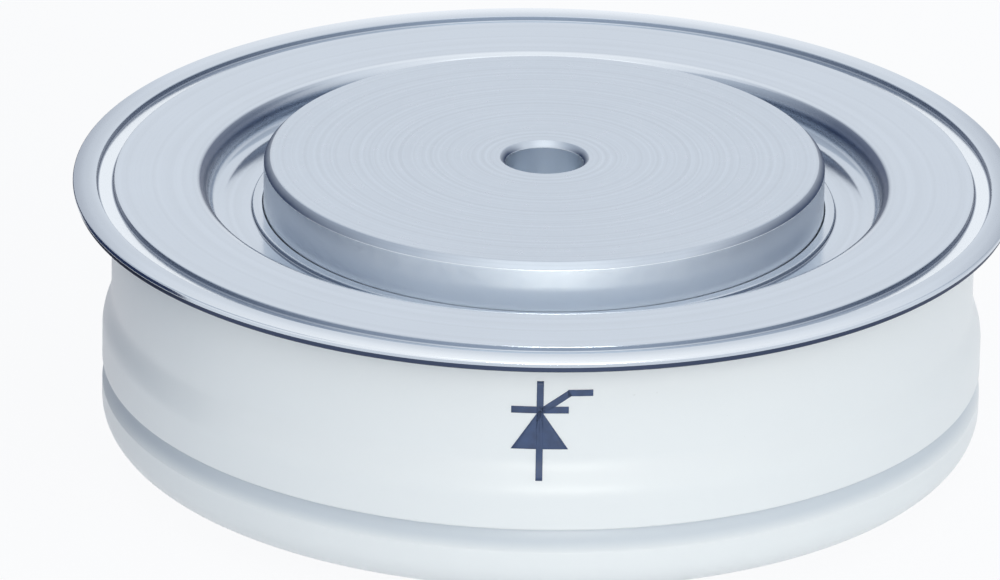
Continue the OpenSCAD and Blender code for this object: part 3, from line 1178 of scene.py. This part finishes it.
@dataclass(frozen=True)
class Lamp:
    """Soft box: where it stands, how big and bright its face is and which surfaces show it."""

    name: str
    azimuth: float
    elevation: float
    distance: float
    width: float
    height: float
    level: float
    reach: Reach
    tint: tuple = (1.0, 0.975, 0.88)

    def build(self) -> None:
        """Stands the soft box in the studio, facing the part."""
        light = bpy.data.lights.new(self.name, "AREA")
        light.shape = "RECTANGLE"
        light.size, light.size_y = self.width * MM, self.height * MM
        light.energy = self.level * math.pi * self.width * self.height * MM * MM
        light.color = self.tint
        lamp = bpy.data.objects.new(self.name, light)
        bpy.context.scene.collection.objects.link(lamp)
        a, e = math.radians(self.azimuth), math.radians(self.elevation)
        back = Vector((math.sin(a) * math.cos(e), -math.cos(a) * math.cos(e), math.sin(e)))
        lamp.location = back * self.distance * MM
        lamp.rotation_euler = (-back).to_track_quat("-Z", "Y").to_euler()
        lamp.visible_camera = False
        lamp.visible_diffuse = self.reach is not Reach.SHINY
        lamp.visible_glossy = self.reach is not Reach.MATT


@dataclass(frozen=True)
class Card:
    """Card out of the picture: shiny faces see its tone in place of the white surroundings."""

    name: str
    x: float
    y: tuple
    z: tuple
    tone: tuple

    def build(self) -> None:
        """Stands the card upright beside the part."""
        (y0, y1), (z0, z1) = self.y, self.z
        corners = np.array([(self.x, y0, z0), (self.x, y1, z0), (self.x, y1, z1), (self.x, y0, z1)])
        mesh = bpy.data.meshes.new(self.name)
        mesh.from_pydata((corners * MM).tolist(), [], [(0, 1, 2, 3)])
        card = bpy.data.objects.new(self.name, mesh)
        bpy.context.scene.collection.objects.link(card)
        made = Shader(self.name + "_paper")
        paper = made.node("NodeEmission", {"Color": (*self.tone, 1.0), "Strength": 1.0})
        made.node("NodeOutputMaterial", {"Surface": paper.outputs[0]})
        mesh.materials.append(made.material)
        card.visible_camera = False


@dataclass
class Studio:
    """Pale floor, white surroundings, soft boxes, cards and the camera."""

    fill: float = 0.60
    sky: tuple = (0.80, 0.90, 1.0, 1.0)
    white: tuple = (0.985, 0.99, 1.0, 1.0)
    paper: tuple = (0.90, 0.91, 0.92, 1.0)
    floor_half: float = 3000.0
    floor_lift: float = 0.94
    lamps: tuple = (
        Lamp("front_box", 17.0, 22.0, 950.0, 1600.0, 660.0, 1.5, Reach.MATT),
        Lamp("rear_box", 182.0, 22.0, 950.0, 900.0, 500.0, 0.8, Reach.MATT),
        Lamp("top_box", 5.0, 70.0, 800.0, 500.0, 500.0, 0.4, Reach.BOTH),
        Lamp("glint_box", 6.0, 3.0, 950.0, 460.0, 90.0, 16.0, Reach.SHINY),
    )
    cards: tuple = (
        Card("left_card", -350.0, (-200.0, 450.0), (150.0, 600.0), (0.60, 0.64, 0.70)),
        Card("low_card", -31.0, (-12.0, 80.0), (3.0, 15.0), (0.03, 0.045, 0.10)),
        Card("right_card", 350.0, (140.0, 450.0), (180.0, 450.0), (0.60, 0.64, 0.70)),
    )
    distance: float = 606.0
    elevation: float = 22.03
    roll: float = 0.943
    sensor: float = 36.0
    lens: float = 489.8
    aim: tuple = (-1.877, -2.239, 8.466)

    def seen(self, tree: bpy.types.NodeTree) -> bpy.types.NodeSocket:
        """1 for rays that show the surroundings, straight or through a shiny face, and 0 for light.

        Args:
            tree: the node tree to add to.

        Returns:
            The value's socket.
        """
        path = tree.nodes.new("ShaderNodeLightPath")
        result = path.outputs["Is Camera Ray"]
        for other in ("Is Glossy Ray", "Is Transmission Ray"):
            either = tree.nodes.new("ShaderNodeMath")
            either.operation = "MAXIMUM"
            tree.links.new(result, either.inputs[0])
            tree.links.new(path.outputs[other], either.inputs[1])
            result = either.outputs[0]
        return result

    def surround(self) -> None:
        """White world that lights softly and shows as white."""
        scene = bpy.context.scene
        scene.world = scene.world or bpy.data.worlds.new("surroundings")
        scene.world.use_nodes = True
        tree = scene.world.node_tree
        tree.nodes.clear()
        level = tree.nodes.new("ShaderNodeMapRange")
        level.inputs["To Min"].default_value = self.fill
        level.inputs["To Max"].default_value = 1.0
        seen = self.seen(tree)
        tree.links.new(seen, level.inputs["Value"])
        light = tree.nodes.new("ShaderNodeBackground")
        tint = tree.nodes.new("ShaderNodeMix")
        tint.data_type = "RGBA"
        tint.inputs[6].default_value = self.sky
        tint.inputs[7].default_value = self.white
        tree.links.new(seen, tint.inputs[0])
        tree.links.new(tint.outputs[2], light.inputs["Color"])
        tree.links.new(level.outputs["Result"], light.inputs["Strength"])
        out = tree.nodes.new("ShaderNodeOutputWorld")
        tree.links.new(light.outputs["Background"], out.inputs["Surface"])

    def floor(self) -> None:
        """Pale floor that fades into the white and keeps the part's shadow."""
        half = self.floor_half * MM
        mesh = bpy.data.meshes.new("floor")
        corners = [(-half, -half, 0.0), (half, -half, 0.0), (half, half, 0.0), (-half, half, 0.0)]
        mesh.from_pydata(corners, [], [(0, 1, 2, 3)])
        floor = bpy.data.objects.new("floor", mesh)
        bpy.context.scene.collection.objects.link(floor)
        made = Shader("floor_paper")
        lift = made.node("NodeMath", {0: self.seen(made.tree), 1: self.floor_lift}, operation="MULTIPLY")
        paper = made.node("NodeBsdfDiffuse", {"Color": self.paper})
        glow = made.node("NodeEmission", {"Color": self.white, "Strength": 1.0})
        mixed = made.node("NodeMixShader", {0: lift.outputs[0], 1: paper.outputs[0], 2: glow.outputs[0]})
        made.node("NodeOutputMaterial", {"Surface": mixed.outputs[0]})
        mesh.materials.append(made.material)

    def camera(self, top_z: float) -> None:
        """Camera that stands where the photographer stood, with the same slight roll.

        Args:
            top_z: height of the cathode face, which the distance is measured from.
        """
        scene = bpy.context.scene
        lens = bpy.data.cameras.new("camera")
        lens.sensor_width, lens.lens = self.sensor, self.lens
        camera = bpy.data.objects.new("camera", lens)
        scene.collection.objects.link(camera)
        e = math.radians(self.elevation)
        place = Vector((0.0, -math.cos(e), math.sin(e))) * self.distance + Vector((0.0, 0.0, top_z))
        look = (Vector(self.aim) - place).to_track_quat("-Z", "Y").to_matrix().to_4x4()
        turn = Matrix.Rotation(math.radians(self.roll), 4, "Z")
        camera.matrix_world = Matrix.Translation(place * MM) @ look @ turn
        scene.camera = camera

    def build(self, top_z: float) -> None:
        """Sets up the whole studio.

        Args:
            top_z: height of the cathode face.
        """
        self.surround()
        self.floor()
        for card in self.cards:
            card.build()
        for lamp in self.lamps:
            lamp.build()
        self.camera(top_z)
        bpy.context.scene.view_settings.view_transform = "Standard"
        log.info("studio: %d soft boxes", len(self.lamps))


def main() -> None:
    """Reads the shared sizes, then builds the dressed part piece by piece and the studio."""
    logging.basicConfig(level=logging.INFO, format="%(message)s")
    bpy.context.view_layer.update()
    levels = Levels.measured()
    SealedStack().build()
    AnodeSide(levels).build()
    ring = CeramicRing(levels)
    ring.build()
    CircuitSymbol(ring).build()
    GateTerminal(ring).build()
    WeldRing(levels).build()
    CathodeFlange(levels).build()
    CathodePole(levels).build()
    Studio().build(levels.cathode_z)


if __name__ == "__main__":
    main()
